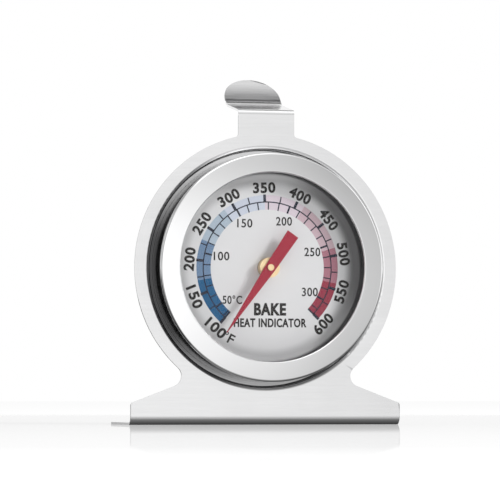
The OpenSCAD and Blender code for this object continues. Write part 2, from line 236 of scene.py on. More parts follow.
def copy_of(node, edge, segments=2, beyond=0.0):
    """A CAD node's shape as one welded shell, with its edges broken."""
    bm = bmesh.new()
    bm.from_mesh(frame["nodes"][node].data)
    bmesh.ops.remove_doubles(bm, verts=bm.verts[:], dist=2e-6)
    bmesh.ops.dissolve_degenerate(bm, edges=bm.edges[:], dist=1e-6)
    bmesh.ops.dissolve_limit(
        bm, angle_limit=math.radians(0.02), use_dissolve_boundaries=False,
        verts=bm.verts[:], edges=bm.edges[:],
    )
    if edge:
        break_edges(bm, edge, segments=segments, beyond=beyond)
    return bm


def sheet_sector(r_in, r_out, start, end, z, thickness):
    """A thin flat sector, with its angles clockwise from the top, in radians and metres."""
    bm = bmesh.new()
    a = bm.verts.new((0, r_in, z))
    b = bm.verts.new((0, r_out, z))
    edge = bm.edges.new((a, b))
    bm.transform(Matrix.Rotation(-start, 4, "Z"))
    degrees_a_step = 1.5
    steps = max(2, int(math.degrees(end - start) / degrees_a_step))
    bmesh.ops.spin(bm, geom=[a, b, edge], cent=(0, 0, 0), axis=(0, 0, -1), angle=end - start, steps=steps)
    thicken(bm, thickness)
    return bm


def thicken(bm, thickness):
    """Gives a flat shape that faces the reader a thickness, forwards."""
    bmesh.ops.recalc_face_normals(bm, faces=bm.faces[:])
    if sum(f.normal.z * f.calc_area() for f in bm.faces) < 0:
        bmesh.ops.reverse_faces(bm, faces=bm.faces[:])
    raised = bmesh.ops.extrude_face_region(bm, geom=bm.faces[:], use_keep_orig=True)
    moved = [g for g in raised["geom"] if isinstance(g, bmesh.types.BMVert)]
    bmesh.ops.translate(bm, verts=moved, vec=(0, 0, thickness))
    bmesh.ops.recalc_face_normals(bm, faces=bm.faces[:])


def join_into(bm, other, matrix=None):
    """Adds one bmesh's shape to another and frees it."""
    if matrix is not None:
        other.transform(matrix)
    mesh = bpy.data.meshes.new("part")
    other.to_mesh(mesh)
    other.free()
    bm.from_mesh(mesh)
    bpy.data.meshes.remove(mesh)


def bar_mark(width, r_from, r_to, turn, z, thickness):
    """A scale mark that runs along a radius."""
    bm = bmesh.new()
    bmesh.ops.create_grid(bm, x_segments=1, y_segments=1, size=0.5)
    bmesh.ops.scale(bm, vec=(width, r_to - r_from, 1), verts=bm.verts[:])
    bmesh.ops.translate(bm, vec=(0, (r_from + r_to) / 2, z), verts=bm.verts[:])
    thicken(bm, thickness)
    bm.transform(Matrix.Rotation(-turn, 4, "Z"))
    return bm


def lettering(text, width, height, boldness, thickness):
    """Flat condensed lettering, centred, of exactly that width and height, in metres."""
    curve = bpy.data.curves.new("letters", "FONT")
    curve.body = text
    curve.size = 1.0
    curve.space_character = 1.1
    curve.resolution_u = 6
    letters = bpy.data.objects.new("letters", curve)
    bpy.context.scene.collection.objects.link(letters)
    for other in bpy.context.selected_objects:
        other.select_set(False)
    bpy.context.view_layer.objects.active = letters
    letters.select_set(True)
    bpy.ops.object.convert(target="CURVE")
    letters = bpy.context.view_layer.objects.active
    points = [p.co for s in letters.data.splines for p in s.bezier_points]
    low = [min(c[i] for c in points) for i in (0, 1)]
    high = [max(c[i] for c in points) for i in (0, 1)]
    inset = 2 * boldness
    fit = Matrix.Diagonal(
        ((width - inset) / (high[0] - low[0]), (height - inset) / (high[1] - low[1]), 1, 1)
    )
    centre = Matrix.Translation((-(low[0] + high[0]) / 2, -(low[1] + high[1]) / 2, 0))
    letters.data.transform(fit @ centre)
    letters.data.offset = boldness
    letters.data.dimensions = "2D"
    letters.data.fill_mode = "BOTH"
    bpy.ops.object.convert(target="MESH")
    letters = bpy.context.view_layer.objects.active
    bm = bmesh.new()
    bm.from_mesh(letters.data)
    mesh = letters.data
    bpy.data.objects.remove(letters)
    bpy.data.meshes.remove(mesh)
    bmesh.ops.remove_doubles(bm, verts=bm.verts[:], dist=1e-7)
    thicken(bm, thickness)
    return bm


# ---------------------------------------------------------------- shader helpers


class Tree:
    """A small hand for a node tree."""

    def __init__(self, tree):
        self.tree = tree

    def node(self, kind, **values):
        """A new node with its properties set."""
        made = self.tree.nodes.new(kind)
        for key, value in values.items():
            setattr(made, key, value)
        return made

    def link(self, source, target):
        self.tree.links.new(source, target)

    def set(self, node, **sockets):
        """Sets a node's input values, with _ for a space in a socket's name."""
        for key, value in sockets.items():
            node.inputs[key.replace("_", " ")].default_value = value

    def math(self, operation, a, b=None):
        """A sum of two sockets or numbers."""
        made = self.node("ShaderNodeMath", operation=operation)
        for socket, value in zip(made.inputs, (a, b)):
            if value is None:
                continue
            if isinstance(value, (int, float)):
                socket.default_value = value
            else:
                self.link(value, socket)
        return made.outputs[0]

    def fade(self, value, at_none, at_full):
        """0 up to one value, 1 from the other, and smooth between them."""
        made = self.node("ShaderNodeMapRange", interpolation_type="SMOOTHSTEP")
        made.inputs["From Min"].default_value = at_none
        made.inputs["From Max"].default_value = at_full
        self.link(value, made.inputs["Value"])
        return made.outputs[0]

    def ramp(self, factor, stops, constant=False):
        """A colour ramp from stops of (position, tone), with each tone a grey or a colour."""
        made = self.node("ShaderNodeValToRGB")
        ramp = made.color_ramp
        ramp.interpolation = "CONSTANT" if constant else "LINEAR"
        while len(ramp.elements) < len(stops):
            ramp.elements.new(1.0)
        for element, (place, tone) in zip(ramp.elements, stops):
            element.position = place
            element.color = (*tone, 1) if isinstance(tone, tuple) else (tone, tone, tone, 1)
        self.link(factor, made.inputs[0])
        return made.outputs[0]


def group_tree(name, inputs, outputs):
    """A new shader node group, its Tree, and its input and output nodes."""
    tree = bpy.data.node_groups.new(name, "ShaderNodeTree")
    for label, kind, default in inputs:
        socket = tree.interface.new_socket(label, in_out="INPUT", socket_type=kind)
        socket.default_value = default
    for label, kind in outputs:
        tree.interface.new_socket(label, in_out="OUTPUT", socket_type=kind)
    hand = Tree(tree)
    return tree, hand, hand.node("NodeGroupInput"), hand.node("NodeGroupOutput")


def brushing_group():
    """Fine parallel brush marks: a mask and a bumped normal."""
    if "Brush marks" in bpy.data.node_groups:
        return bpy.data.node_groups["Brush marks"]
    tree, hand, ins, outs = group_tree(
        "Brush marks",
        [("Vector", "NodeSocketVector", (0, 0, 0)), ("Fineness", "NodeSocketFloat", 9000.0),
         ("Depth", "NodeSocketFloat", 0.2)],
        [("Marks", "NodeSocketFloat"), ("Normal", "NodeSocketVector")],
    )
    fine = hand.node("ShaderNodeTexNoise", noise_dimensions="3D")
    hand.set(fine, Detail=3.0, Roughness=0.65)
    hand.link(ins.outputs["Vector"], fine.inputs["Vector"])
    hand.link(ins.outputs["Fineness"], fine.inputs["Scale"])
    broad = hand.node("ShaderNodeTexNoise", noise_dimensions="3D")
    hand.set(broad, Detail=2.0)
    hand.link(ins.outputs["Vector"], broad.inputs["Vector"])
    hand.link(hand.math("MULTIPLY", ins.outputs["Fineness"], 0.17), broad.inputs["Scale"])
    marks = hand.math(
        "ADD", hand.math("MULTIPLY", fine.outputs[0], 0.7), hand.math("MULTIPLY", broad.outputs[0], 0.3)
    )
    bump = hand.node("ShaderNodeBump")
    hand.set(bump, Distance=0.00002)
    hand.link(ins.outputs["Depth"], bump.inputs["Strength"])
    hand.link(marks, bump.inputs["Height"])
    hand.link(marks, outs.inputs["Marks"])
    hand.link(bump.outputs[0], outs.inputs["Normal"])
    return tree


def handling_group():
    """Soft smudges and a few fine scratches from handling, as two masks."""
    if "Handling" in bpy.data.node_groups:
        return bpy.data.node_groups["Handling"]
    tree, hand, ins, outs = group_tree(
        "Handling",
        [("Vector", "NodeSocketVector", (0, 0, 0)), ("Scale", "NodeSocketFloat", 60.0)],
        [("Smudge", "NodeSocketFloat"), ("Scratch", "NodeSocketFloat")],
    )
    cloud = hand.node("ShaderNodeTexNoise", noise_dimensions="3D")
    hand.set(cloud, Detail=4.0, Distortion=0.6)
    hand.link(ins.outputs["Vector"], cloud.inputs["Vector"])
    hand.link(ins.outputs["Scale"], cloud.inputs["Scale"])
    smudge = hand.ramp(cloud.outputs[0], [(0.42, 0.0), (0.72, 1.0)])
    wave = hand.node("ShaderNodeTexWave", wave_type="BANDS", bands_direction="DIAGONAL")
    hand.set(wave, Distortion=14.0, Detail=2.0, Detail_Scale=1.2)
    hand.link(ins.outputs["Vector"], wave.inputs["Vector"])
    hand.link(hand.math("MULTIPLY", ins.outputs["Scale"], 3.0), wave.inputs["Scale"])
    scratch = hand.ramp(wave.outputs["Fac"], [(0.0, 1.0), (0.012, 0.0)])
    hand.link(smudge, outs.inputs["Smudge"])
    hand.link(scratch, outs.inputs["Scratch"])
    return tree


def new_material(name):
    """A material with one Principled shader, its Tree, and that shader."""
    material = bpy.data.materials.new(name)
    material.use_nodes = True
    hand = Tree(material.node_tree)
    return material, hand, material.node_tree.nodes["Principled BSDF"]


def object_vector(hand, scale=(1, 1, 1), location=(0, 0, 0)):
    """Object coordinates, stretched and moved."""
    place = hand.node("ShaderNodeTexCoord")
    mapping = hand.node("ShaderNodeMapping", vector_type="POINT")
    mapping.inputs["Scale"].default_value = scale
    mapping.inputs["Location"].default_value = location
    hand.link(place.outputs["Object"], mapping.inputs["Vector"])
    return mapping.outputs[0]


def from_middle(hand):
    """X, Y and Z of a point, measured from the dial's middle."""
    split = hand.node("ShaderNodeSeparateXYZ")
    hand.link(object_vector(hand, location=(-AXIS.x, -AXIS.y, -AXIS.z)), split.inputs[0])
    return split.outputs


def towards(hand, x, z, across, up):
    """How far a point lies along a direction across the dial."""
    return hand.math("ADD", hand.math("MULTIPLY", x, across), hand.math("MULTIPLY", z, up))


def dial_place_group():
    """Distance from the dial's axis and height in front of the plate, in metres."""
    if "Dial place" in bpy.data.node_groups:
        return bpy.data.node_groups["Dial place"]
    tree, hand, ins, outs = group_tree(
        "Dial place", [("Vector", "NodeSocketVector", (0, 0, 0))],
        [("Radius", "NodeSocketFloat"), ("Height", "NodeSocketFloat")],
    )
    from_axis = hand.node("ShaderNodeVectorMath", operation="SUBTRACT")
    from_axis.inputs[1].default_value = AXIS
    hand.link(ins.outputs["Vector"], from_axis.inputs[0])
    flat = hand.node("ShaderNodeVectorMath", operation="MULTIPLY")
    flat.inputs[1].default_value = (1, 0, 1)
    hand.link(from_axis.outputs[0], flat.inputs[0])
    reach = hand.node("ShaderNodeVectorMath", operation="LENGTH")
    hand.link(flat.outputs[0], reach.inputs[0])
    split = hand.node("ShaderNodeSeparateXYZ")
    hand.link(from_axis.outputs[0], split.inputs[0])
    hand.link(reach.outputs["Value"], outs.inputs["Radius"])
    hand.link(hand.math("MULTIPLY", split.outputs[1], -1.0), outs.inputs["Height"])
    return tree


def dial_place(hand):
    """Outputs of the group above, fed with Object coordinates."""
    return group_node(hand, dial_place_group(), object_vector(hand)).outputs


def lathe_vector(hand):
    """A vector for marks that run round the dial's axis."""
    place = dial_place(hand)
    joined = hand.node("ShaderNodeCombineXYZ")
    hand.link(place["Radius"], joined.inputs[0])
    hand.link(place["Height"], joined.inputs[1])
    return joined.outputs[0]


def group_node(hand, tree, vector, **values):
    """Places a node group, feeds its Vector and sets its values."""
    placed = hand.node("ShaderNodeGroup", node_tree=tree)
    hand.link(vector, placed.inputs["Vector"])
    for key, value in values.items():
        placed.inputs[key].default_value = value
    return placed


def steel(name, tone, roughness, along="X", depth=0.2, fineness=9000.0, shade=None):
    """Steel with brush marks along X or Z or turned round the dial's axis, smudges and fine
    scratches. A shade makes a mask from the place on the dial: there a painted shade darkens the colour,
    a painted reflection of the dark surroundings that such a place mirrors."""
    material, hand, shader = new_material(name)
    if along == "TURNED":
        vector = lathe_vector(hand)
    else:
        vector = object_vector(hand, {"X": (0.02, 1, 1), "Z": (1, 1, 0.02)}[along])
    brush = group_node(hand, brushing_group(), vector, Fineness=fineness, Depth=depth)
    wear = group_node(hand, handling_group(), object_vector(hand), Scale=55.0)
    spread = hand.math("MULTIPLY", brush.outputs["Marks"], 0.16)
    smudged = hand.math("MULTIPLY", wear.outputs["Smudge"], 0.05)
    scratched = hand.math("MULTIPLY", wear.outputs["Scratch"], 0.015)
    marked = hand.math("ADD", spread, smudged)
    rough = hand.math("ADD", marked, hand.math("ADD", scratched, roughness - 0.08))
    hand.link(rough, shader.inputs["Roughness"])
    mix = hand.node("ShaderNodeMix", data_type="RGBA")
    mix.inputs["A"].default_value = (*tone, 1)
    mix.inputs["B"].default_value = (*[c * 0.93 for c in tone], 1)
    hand.link(hand.math("MULTIPLY", brush.outputs["Marks"], 0.8), mix.inputs["Factor"])
    colour_out = mix.outputs["Result"]
    if shade:
        # Painted shade: streaked dark and pale tones, laid over the colour where the shade's mask lies
        streaks = group_node(hand, brushing_group(), lathe_vector(hand), Fineness=2600.0, Depth=0.0)
        dark, pale = (0.045, 0.045, 0.047), (0.32, 0.32, 0.325)
        tones = hand.ramp(streaks.outputs["Marks"], [(0.35, dark), (0.7, pale)])
        darkened = hand.node("ShaderNodeMix", data_type="RGBA")
        hand.link(shade(hand, dial_place(hand)), darkened.inputs["Factor"])
        hand.link(colour_out, darkened.inputs["A"])
        hand.link(tones, darkened.inputs["B"])
        colour_out = darkened.outputs["Result"]
    hand.link(colour_out, shader.inputs["Base Color"])
    hand.link(brush.outputs["Normal"], shader.inputs["Normal"])
    shader.inputs["Metallic"].default_value = 1.0
    return material


def stand_shade(hand, place):
    """Where a painted shade darkens the stand: in its well, on its sheared edges and at the hook's bend."""
    x, _, z = from_middle(hand)
    lip = radius_of("case_cup") + 1.65 * MM
    dark = inside_well(hand, place, z, lip)
    dark = hand.math("MAXIMUM", dark, sheared_edges(hand, place, x, z, lip))
    return hand.math("MAXIMUM", dark, hook_bend(hand, z))


def inside_well(hand, place, z, lip):
    """Painted shade on the wall of the well, a little less at its foot and much less at its top."""
    floor = front_of("stand_frame") - 3.25 * MM
    wall = hand.fade(place["Radius"], lip, lip - 0.15 * MM)
    wall = hand.math("MULTIPLY", wall, hand.fade(place["Height"], floor, floor + 0.05 * MM))
    upper = hand.math("MULTIPLY", hand.fade(z, 6 * MM, 20 * MM), 0.85)
    lower = hand.math("MULTIPLY", hand.fade(z, -14 * MM, -22 * MM), 0.35)
    share = hand.math("SUBTRACT", hand.math("SUBTRACT", 1.0, upper), lower)
    return hand.math("MULTIPLY", wall, share)


def sheared_edges(hand, place, x, z, lip):
    """Painted shade on the plate's outline, between its two faces, and on the ends of the base."""
    edge = hand.math(
        "MULTIPLY", hand.fade(place["Height"], -0.07 * MM, -0.12 * MM),
        hand.fade(place["Height"], -0.46 * MM, -0.4 * MM),
    )
    above_foot, below_hook = 2.2 * MM - DIAL_H, 34.2 * MM
    plate = hand.math(
        "MULTIPLY", hand.fade(z, above_foot, above_foot + 0.2 * MM),
        hand.fade(z, below_hook, below_hook - 0.1 * MM),
    )
    outside = hand.fade(place["Radius"], lip + 1 * MM, lip + 1.2 * MM)
    edge = hand.math("MULTIPLY", hand.math("MULTIPLY", edge, plate), outside)
    half_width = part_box("stand_frame")[1][0]
    ends = hand.fade(hand.math("ABSOLUTE", x), half_width - 0.1 * MM, half_width - 0.02 * MM)
    return hand.math("MULTIPLY", hand.math("MAXIMUM", edge, ends), 0.8)


def hook_bend(hand, z):
    """Painted shade on the hook's tip, darker towards its bend, and a painted dark crease in it."""
    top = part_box("stand_frame")[1][2] - DIAL_H
    crease, bend_end = top - 4.8 * MM, top - 5.4 * MM
    painted_fade = hand.math("MULTIPLY", hand.fade(z, top - 0.6 * MM, crease + 0.1 * MM), 0.72)
    dark = hand.math("MAXIMUM", painted_fade, hand.fade(z, crease + 0.05 * MM, crease))
    return hand.math("MULTIPLY", dark, hand.fade(z, bend_end, bend_end + 0.1 * MM))


def skirt_shade(hand, place):
    """Painted shade on the side wall of the bezel, behind its rounded rim, towards the left."""
    rim = front_of("bezel") - 1.35 * MM
    x, _, z = from_middle(hand)
    wall = hand.fade(place["Height"], rim, rim - 0.2 * MM)
    left = hand.fade(towards(hand, x, z, -0.99, -0.1), 2 * MM, 15 * MM)
    return hand.math("MULTIPLY", wall, left)


def brass(name, tone):
    """Turned brass with lathe marks and a little tarnish."""
    material, hand, shader = new_material(name)
    brush = group_node(hand, brushing_group(), lathe_vector(hand), Fineness=16000.0, Depth=0.25)
    wear = group_node(hand, handling_group(), object_vector(hand), Scale=260.0)
    mix = hand.node("ShaderNodeMix", data_type="RGBA")
    mix.inputs["A"].default_value = (*tone, 1)
    mix.inputs["B"].default_value = (tone[0] * 0.72, tone[1] * 0.62, tone[2] * 0.5, 1)
    hand.link(hand.math("MULTIPLY", wear.outputs["Smudge"], 0.4), mix.inputs["Factor"])
    hand.link(mix.outputs["Result"], shader.inputs["Base Color"])
    rough = hand.math("ADD", hand.math("MULTIPLY", brush.outputs["Marks"], 0.15), 0.22)
    hand.link(rough, shader.inputs["Roughness"])
    hand.link(brush.outputs["Normal"], shader.inputs["Normal"])
    shader.inputs["Metallic"].default_value = 1.0
    return material


def paint(name, tone, roughness, grain=0.12, coat=0.0, fineness=5200.0, drift=0.05):
    """Sprayed or printed paint: a fine grain, slow drifts of tone and a soft sheen."""
    material, hand, shader = new_material(name)
    fine = hand.node("ShaderNodeTexNoise", noise_dimensions="3D")
    hand.set(fine, Scale=fineness, Detail=3.0)
    hand.link(object_vector(hand), fine.inputs["Vector"])
    slow = hand.node("ShaderNodeTexNoise", noise_dimensions="3D")
    hand.set(slow, Scale=90.0, Detail=3.0)
    hand.link(object_vector(hand), slow.inputs["Vector"])
    mix = hand.node("ShaderNodeMix", data_type="RGBA")
    mix.inputs["A"].default_value = (*[min(1.0, c * (1 + drift)) for c in tone], 1)
    mix.inputs["B"].default_value = (*[c * (1 - drift) for c in tone], 1)
    blend = hand.math(
        "ADD", hand.math("MULTIPLY", fine.outputs[0], 0.5), hand.math("MULTIPLY", slow.outputs[0], 0.5)
    )
    hand.link(blend, mix.inputs["Factor"])
    hand.link(mix.outputs["Result"], shader.inputs["Base Color"])
    rough = hand.math("ADD", hand.math("MULTIPLY", slow.outputs[0], 0.1), roughness - 0.05)
    hand.link(rough, shader.inputs["Roughness"])
    bump = hand.node("ShaderNodeBump")
    hand.set(bump, Strength=grain, Distance=0.00001)
    hand.link(fine.outputs[0], bump.inputs["Height"])
    hand.link(bump.outputs[0], shader.inputs["Normal"])
    shader.inputs["Coat Weight"].default_value = coat
    shader.inputs["Specular IOR Level"].default_value = 0.2
    return material


def pan_paint(settings):
    """The dial's paint, with a shade in its colour up the cove, which is deepest to the right."""
    material = paint("Dial paint", settings.paint, roughness=0.42)
    hand = Tree(material.node_tree)
    shader = material.node_tree.nodes["Principled BSDF"]
    plain = shader.inputs["Base Color"].links[0].from_socket
    mix = hand.node("ShaderNodeMix", data_type="RGBA")
    mix.inputs["B"].default_value = (0.035, 0.035, 0.037, 1)
    place = dial_place(hand)
    cove = settings.pan_r - settings.cove_r
    x, _, z = from_middle(hand)
    right = hand.fade(towards(hand, x, z, 0.94, 0.34), 8 * MM, 19 * MM)
    depth = hand.math("ADD", hand.math("MULTIPLY", right, 0.5), 0.35)
    near = hand.fade(place["Radius"], cove - 2.4 * MM, cove + 0.6 * MM)
    near = hand.math("MULTIPLY", near, depth)
    face = dial_face()
    up = hand.fade(place["Height"], face - 0.2 * MM, face + 1.3 * MM)
    hand.link(hand.math("MAXIMUM", near, up), mix.inputs["Factor"])
    hand.link(plain, mix.inputs["A"])
    hand.link(mix.outputs["Result"], shader.inputs["Base Color"])
    return material


def scale_band_material(settings):
    """The scale's printed steps of colour, from blue through pale to crimson, by angle."""
    material, hand, shader = new_material("Scale band print")
    x, _, z = from_middle(hand)
    turn = hand.math("ARCTAN2", x, z)
    low, high = settings.low, settings.high
    share = hand.math("DIVIDE", hand.math("SUBTRACT", turn, low), high - low)
    steps = [
        (100, (0.02, 0.105, 0.235)), (170, (0.15, 0.235, 0.365)), (230, (0.4, 0.48, 0.56)),
        (285, (0.56, 0.6, 0.69)), (350, (0.66, 0.58, 0.64)), (412, (0.56, 0.42, 0.465)),
        (487, (0.385, 0.17, 0.215)), (540, (0.28, 0.04, 0.065)),
    ]
    tone = hand.ramp(share, [((f - 100) / 500, rgb) for f, rgb in steps], constant=True)
    dots = hand.node("ShaderNodeTexNoise", noise_dimensions="3D")
    hand.set(dots, Scale=7000.0, Detail=2.0)
    hand.link(object_vector(hand), dots.inputs["Vector"])
    mix = hand.node("ShaderNodeMix", data_type="RGBA", blend_type="MULTIPLY")
    mix.inputs["Factor"].default_value = 0.35
    hand.link(tone, mix.inputs["A"])
    hand.link(hand.ramp(dots.outputs[0], [(0.3, 0.7), (0.6, 1.0)]), mix.inputs["B"])
    hand.link(mix.outputs["Result"], shader.inputs["Base Color"])
    rough = hand.math("ADD", hand.math("MULTIPLY", dots.outputs[0], 0.1), 0.35)
    hand.link(rough, shader.inputs["Roughness"])
    shader.inputs["Specular IOR Level"].default_value = 0.2
    return material


def glass_material():
    """Clear flat glass that lets light through to the dial."""
    material, hand, shader = new_material("Lens glass")
    dust = group_node(hand, handling_group(), object_vector(hand), Scale=120.0)
    hand.link(hand.math("MULTIPLY", dust.outputs["Smudge"], 0.02), shader.inputs["Roughness"])
    shader.inputs["Base Color"].default_value = (1, 1, 1, 1)
    shader.inputs["Transmission Weight"].default_value = 1.0
    shader.inputs["IOR"].default_value = 1.2
    shader.inputs["Specular IOR Level"].default_value = 0.25
    clear = hand.node("ShaderNodeBsdfTransparent")
    rays = hand.node("ShaderNodeLightPath")
    mix = hand.node("ShaderNodeMixShader")
    through = hand.math("MAXIMUM", rays.outputs["Is Shadow Ray"], rays.outputs["Is Diffuse Ray"])
    hand.link(through, mix.inputs[0])
    hand.link(shader.outputs[0], mix.inputs[1])
    hand.link(clear.outputs[0], mix.inputs[2])
    output = material.node_tree.nodes["Material Output"]
    hand.link(mix.outputs[0], output.inputs["Surface"])
    return material


def rubber():
    """Matt black gasket."""
    tone = (0.03, 0.03, 0.032)
    return paint("Heat-proof gasket", tone, roughness=0.7, grain=0.3, fineness=3000.0, drift=0.2)


def dress(node, material):
    """Gives a CAD node its material."""
    mesh = frame["nodes"][node].data
    mesh.materials.clear()
    mesh.materials.append(material)


# ---------------------------------------------------------------- pieces


class THERMO_OT_stand(bpy.types.Operator):
    """Brushed stand: plate, foot and hook from one sheet"""

    bl_idname = "thermo.stand"
    bl_label = "Stand"

    def execute(self, context):
        metal = context.scene.thermo_metal
        material = steel(
            "Brushed stand steel", metal.steel, 0.21, depth=metal.brushing, shade=stand_shade
        )
        outside_well = radius_of("case_cup") + 3 * MM
        shape = copy_of("stand_frame", metal.edge, beyond=outside_well)
        add_piece("stand_sheet", shape, material, "root", replaces=["stand_frame"])
        return {"FINISHED"}


class THERMO_OT_case(bpy.types.Operator):
    """Case cup, clamp ring and the fastenings on the back"""

    bl_idname = "thermo.case"
    bl_label = "Case"

    def execute(self, context):
        metal = context.scene.thermo_metal
        drawn = steel("Drawn case steel", [c * 0.9 for c in metal.steel], 0.28, along="TURNED", depth=0.3)
        plain = steel("Plain movement steel", (0.6, 0.6, 0.62), 0.35)
        yellow = brass("Turned brass", metal.brass)
        for name, node, edge_mm, segments, material, slot in (
            ("case_shell", "case_cup", 0.08, 2, drawn, "case_steel"),
            ("case_clamp", "clamp_ring", 0.1, 2, drawn, "case_steel"),
            ("rear_hex_nut", "rear_nut", 0.18, 2, yellow, "brass"),
            ("case_rivets", "bridge_rivets", 0.22, 3, plain, "movement_steel"),
        ):
            shape = copy_of(node, edge_mm * MM, segments=segments)
            add_piece(name, shape, material, "root", replaces=[node])
        for node in ("lock_washer", "movement_bridge", "anchor_wedge", "thrust_washer"):
            dress(node, plain)
        for node in ("front_bush", "rear_bush", "coil_anchor", "coil_hub", "pointer_hub", "spindle"):
            dress(node, yellow)
        dress("bimetal_coil", steel("Bimetal strip", (0.5, 0.42, 0.33), 0.35, along="Z", depth=0.3))
        return {"FINISHED"}


class THERMO_OT_bezel(bpy.types.Operator):
    """Polished bezel with a crowned face"""

    bl_idname = "thermo.bezel"
    bl_label = "Bezel"

    def execute(self, context):
        dial = context.scene.thermo_dial
        metal = context.scene.thermo_metal
        r = radius_of("bezel") / MM
        front = front_of("bezel") / MM
        back = back_of("bezel") / MM
        window = dial.window_r / MM
        sheet = PRESSED_T
        rim = 0.62
        lip_depth = 0.65
        fall = (r - rim - window) * math.tan(dial.crown)
        profile = [
            (r - sheet, back), (r, back), (r, front - fall - rim),
            *arc_points((r - rim, front - fall - rim), rim, 0, 90 - math.degrees(dial.crown), 12)[1:],
            (window + 0.3, front - 0.03), (window + 0.1, front - 0.1), (window, front - 0.28),
            (window, front - lip_depth), (window + sheet, front - lip_depth),
            (window + sheet, front - sheet - 0.1), (r - rim, front - fall - sheet),
            (r - sheet, front - fall - rim),
        ]
        material = steel(
            "Polished bezel steel", metal.polished, 0.13, along="TURNED", depth=0.05, fineness=14000.0,
            shade=skirt_shade,
        )
        add_piece(
            "bezel_ring", turned(profile, steps=256), material, "root",
            replaces=["bezel"], matrix=ON_DIAL, smooth_deg=50,
        )
        return {"FINISHED"}


class THERMO_OT_lens(bpy.types.Operator):
    """Flat glass lens and its gasket"""

    bl_idname = "thermo.lens"
    bl_label = "Lens"

    def execute(self, context):
        dial = context.scene.thermo_dial
        clear_of_bezel = 1.5
        r = radius_of("lens") / MM - clear_of_bezel
        front = front_of("lens") / MM
        back = back_of("lens") / MM
        profile = [(0, back), (r, back), (r, front), (0, front)]
        add_piece(
            "lens_disc", turned(profile, closed=False, edge=0.12), glass_material(), "root",
            replaces=["lens"], matrix=ON_DIAL,
        )
        inner = dial.window_r / MM + 0.5
        outer = inner + 1.6
        seal = [(inner, front), (outer, front), (outer, front + 0.06), (inner, front + 0.24)]
        add_piece(
            "gasket_ring", turned(seal), rubber(), "root",
            replaces=["lens_gasket"], matrix=ON_DIAL,
        )
        return {"FINISHED"}


class THERMO_OT_dial(bpy.types.Operator):
    """Painted dial pan whose rim curves up to the lens"""

    bl_idname = "thermo.dial"
    bl_label = "Dial"

    def execute(self, context):
        dial = context.scene.thermo_dial
        face = dial_face() / MM
        flange_r = radius_of("dial_plate") / MM
        top = front_of("dial_plate") / MM
        pan = dial.pan_r / MM
        cove = dial.cove_r / MM
        sheet = PRESSED_T
        hole = radius_of("front_bush") / MM + 0.05
        centre = (pan - cove, face + cove)
        profile = [
            (hole, face), *arc_points(centre, cove, -90, 0, 12), (pan, top - 0.15), (pan + 0.15, top),
            (flange_r, top), (flange_r, top - sheet), (pan + sheet, top - sheet),
            *arc_points(centre, cove + sheet, 0, -90, 12), (hole, face - sheet),
        ]
        add_piece(
            "dial_pan", turned(profile), pan_paint(dial), "root", replaces=["dial_plate"],
            matrix=ON_DIAL, smooth_deg=40,
        )
        return {"FINISHED"}


def fahrenheit_angle(dial, degrees):
    """Angle of a temperature on the dial, clockwise from the top."""
    return dial.low + (dial.high - dial.low) * (degrees - 100) / 500


class THERMO_OT_scale(bpy.types.Operator):
    """Printed scale: colour band, line and marks"""

    bl_idname = "thermo.scale"
    bl_label = "Scale"

    def execute(self, context):
        dial = context.scene.thermo_dial
        z = dial_face()
        low, high, ink_t = dial.low, dial.high, dial.ink_t
        gap = 0.11 * MM
        band = sheet_sector(dial.line_r + gap, dial.outer_r, low, high, z, ink_t)
        join_into(band, sheet_sector(dial.inner_r, dial.line_r - gap, low, high, z, ink_t))
        add_piece("scale_band", band, scale_band_material(dial), "root", matrix=ON_DIAL)

        z += ink_t
        half_line = 0.13 * MM
        marks = sheet_sector(dial.line_r - half_line, dial.line_r + half_line, low, high, z, ink_t)
        minor_w = 0.27
        for degrees in range(100, 601, 25):
            width, reach = (0.62, 1.68) if degrees % 50 == 0 else (minor_w, 1.5)
            turn = fahrenheit_angle(dial, degrees)
            mark = bar_mark(width * MM, dial.line_r, dial.line_r + reach * MM, turn, z, ink_t)
            join_into(marks, mark)
        for celsius in range(40, 311, 10):
            width = 0.42 if celsius % 50 == 0 else minor_w
            turn = fahrenheit_angle(dial, celsius * 1.8 + 32)
            mark = bar_mark(width * MM, dial.line_r - 1.72 * MM, dial.line_r, turn, z, ink_t)
            join_into(marks, mark)
        for end in (low, high):
            join_into(marks, bar_mark(0.4 * MM, dial.inner_r, dial.line_r, end, z, ink_t))
        material = paint("Scale ink", dial.scale_ink, roughness=0.4, grain=0.05, drift=0.25)
        add_piece("scale_marks", marks, material, "root", matrix=ON_DIAL)
        return {"FINISHED"}


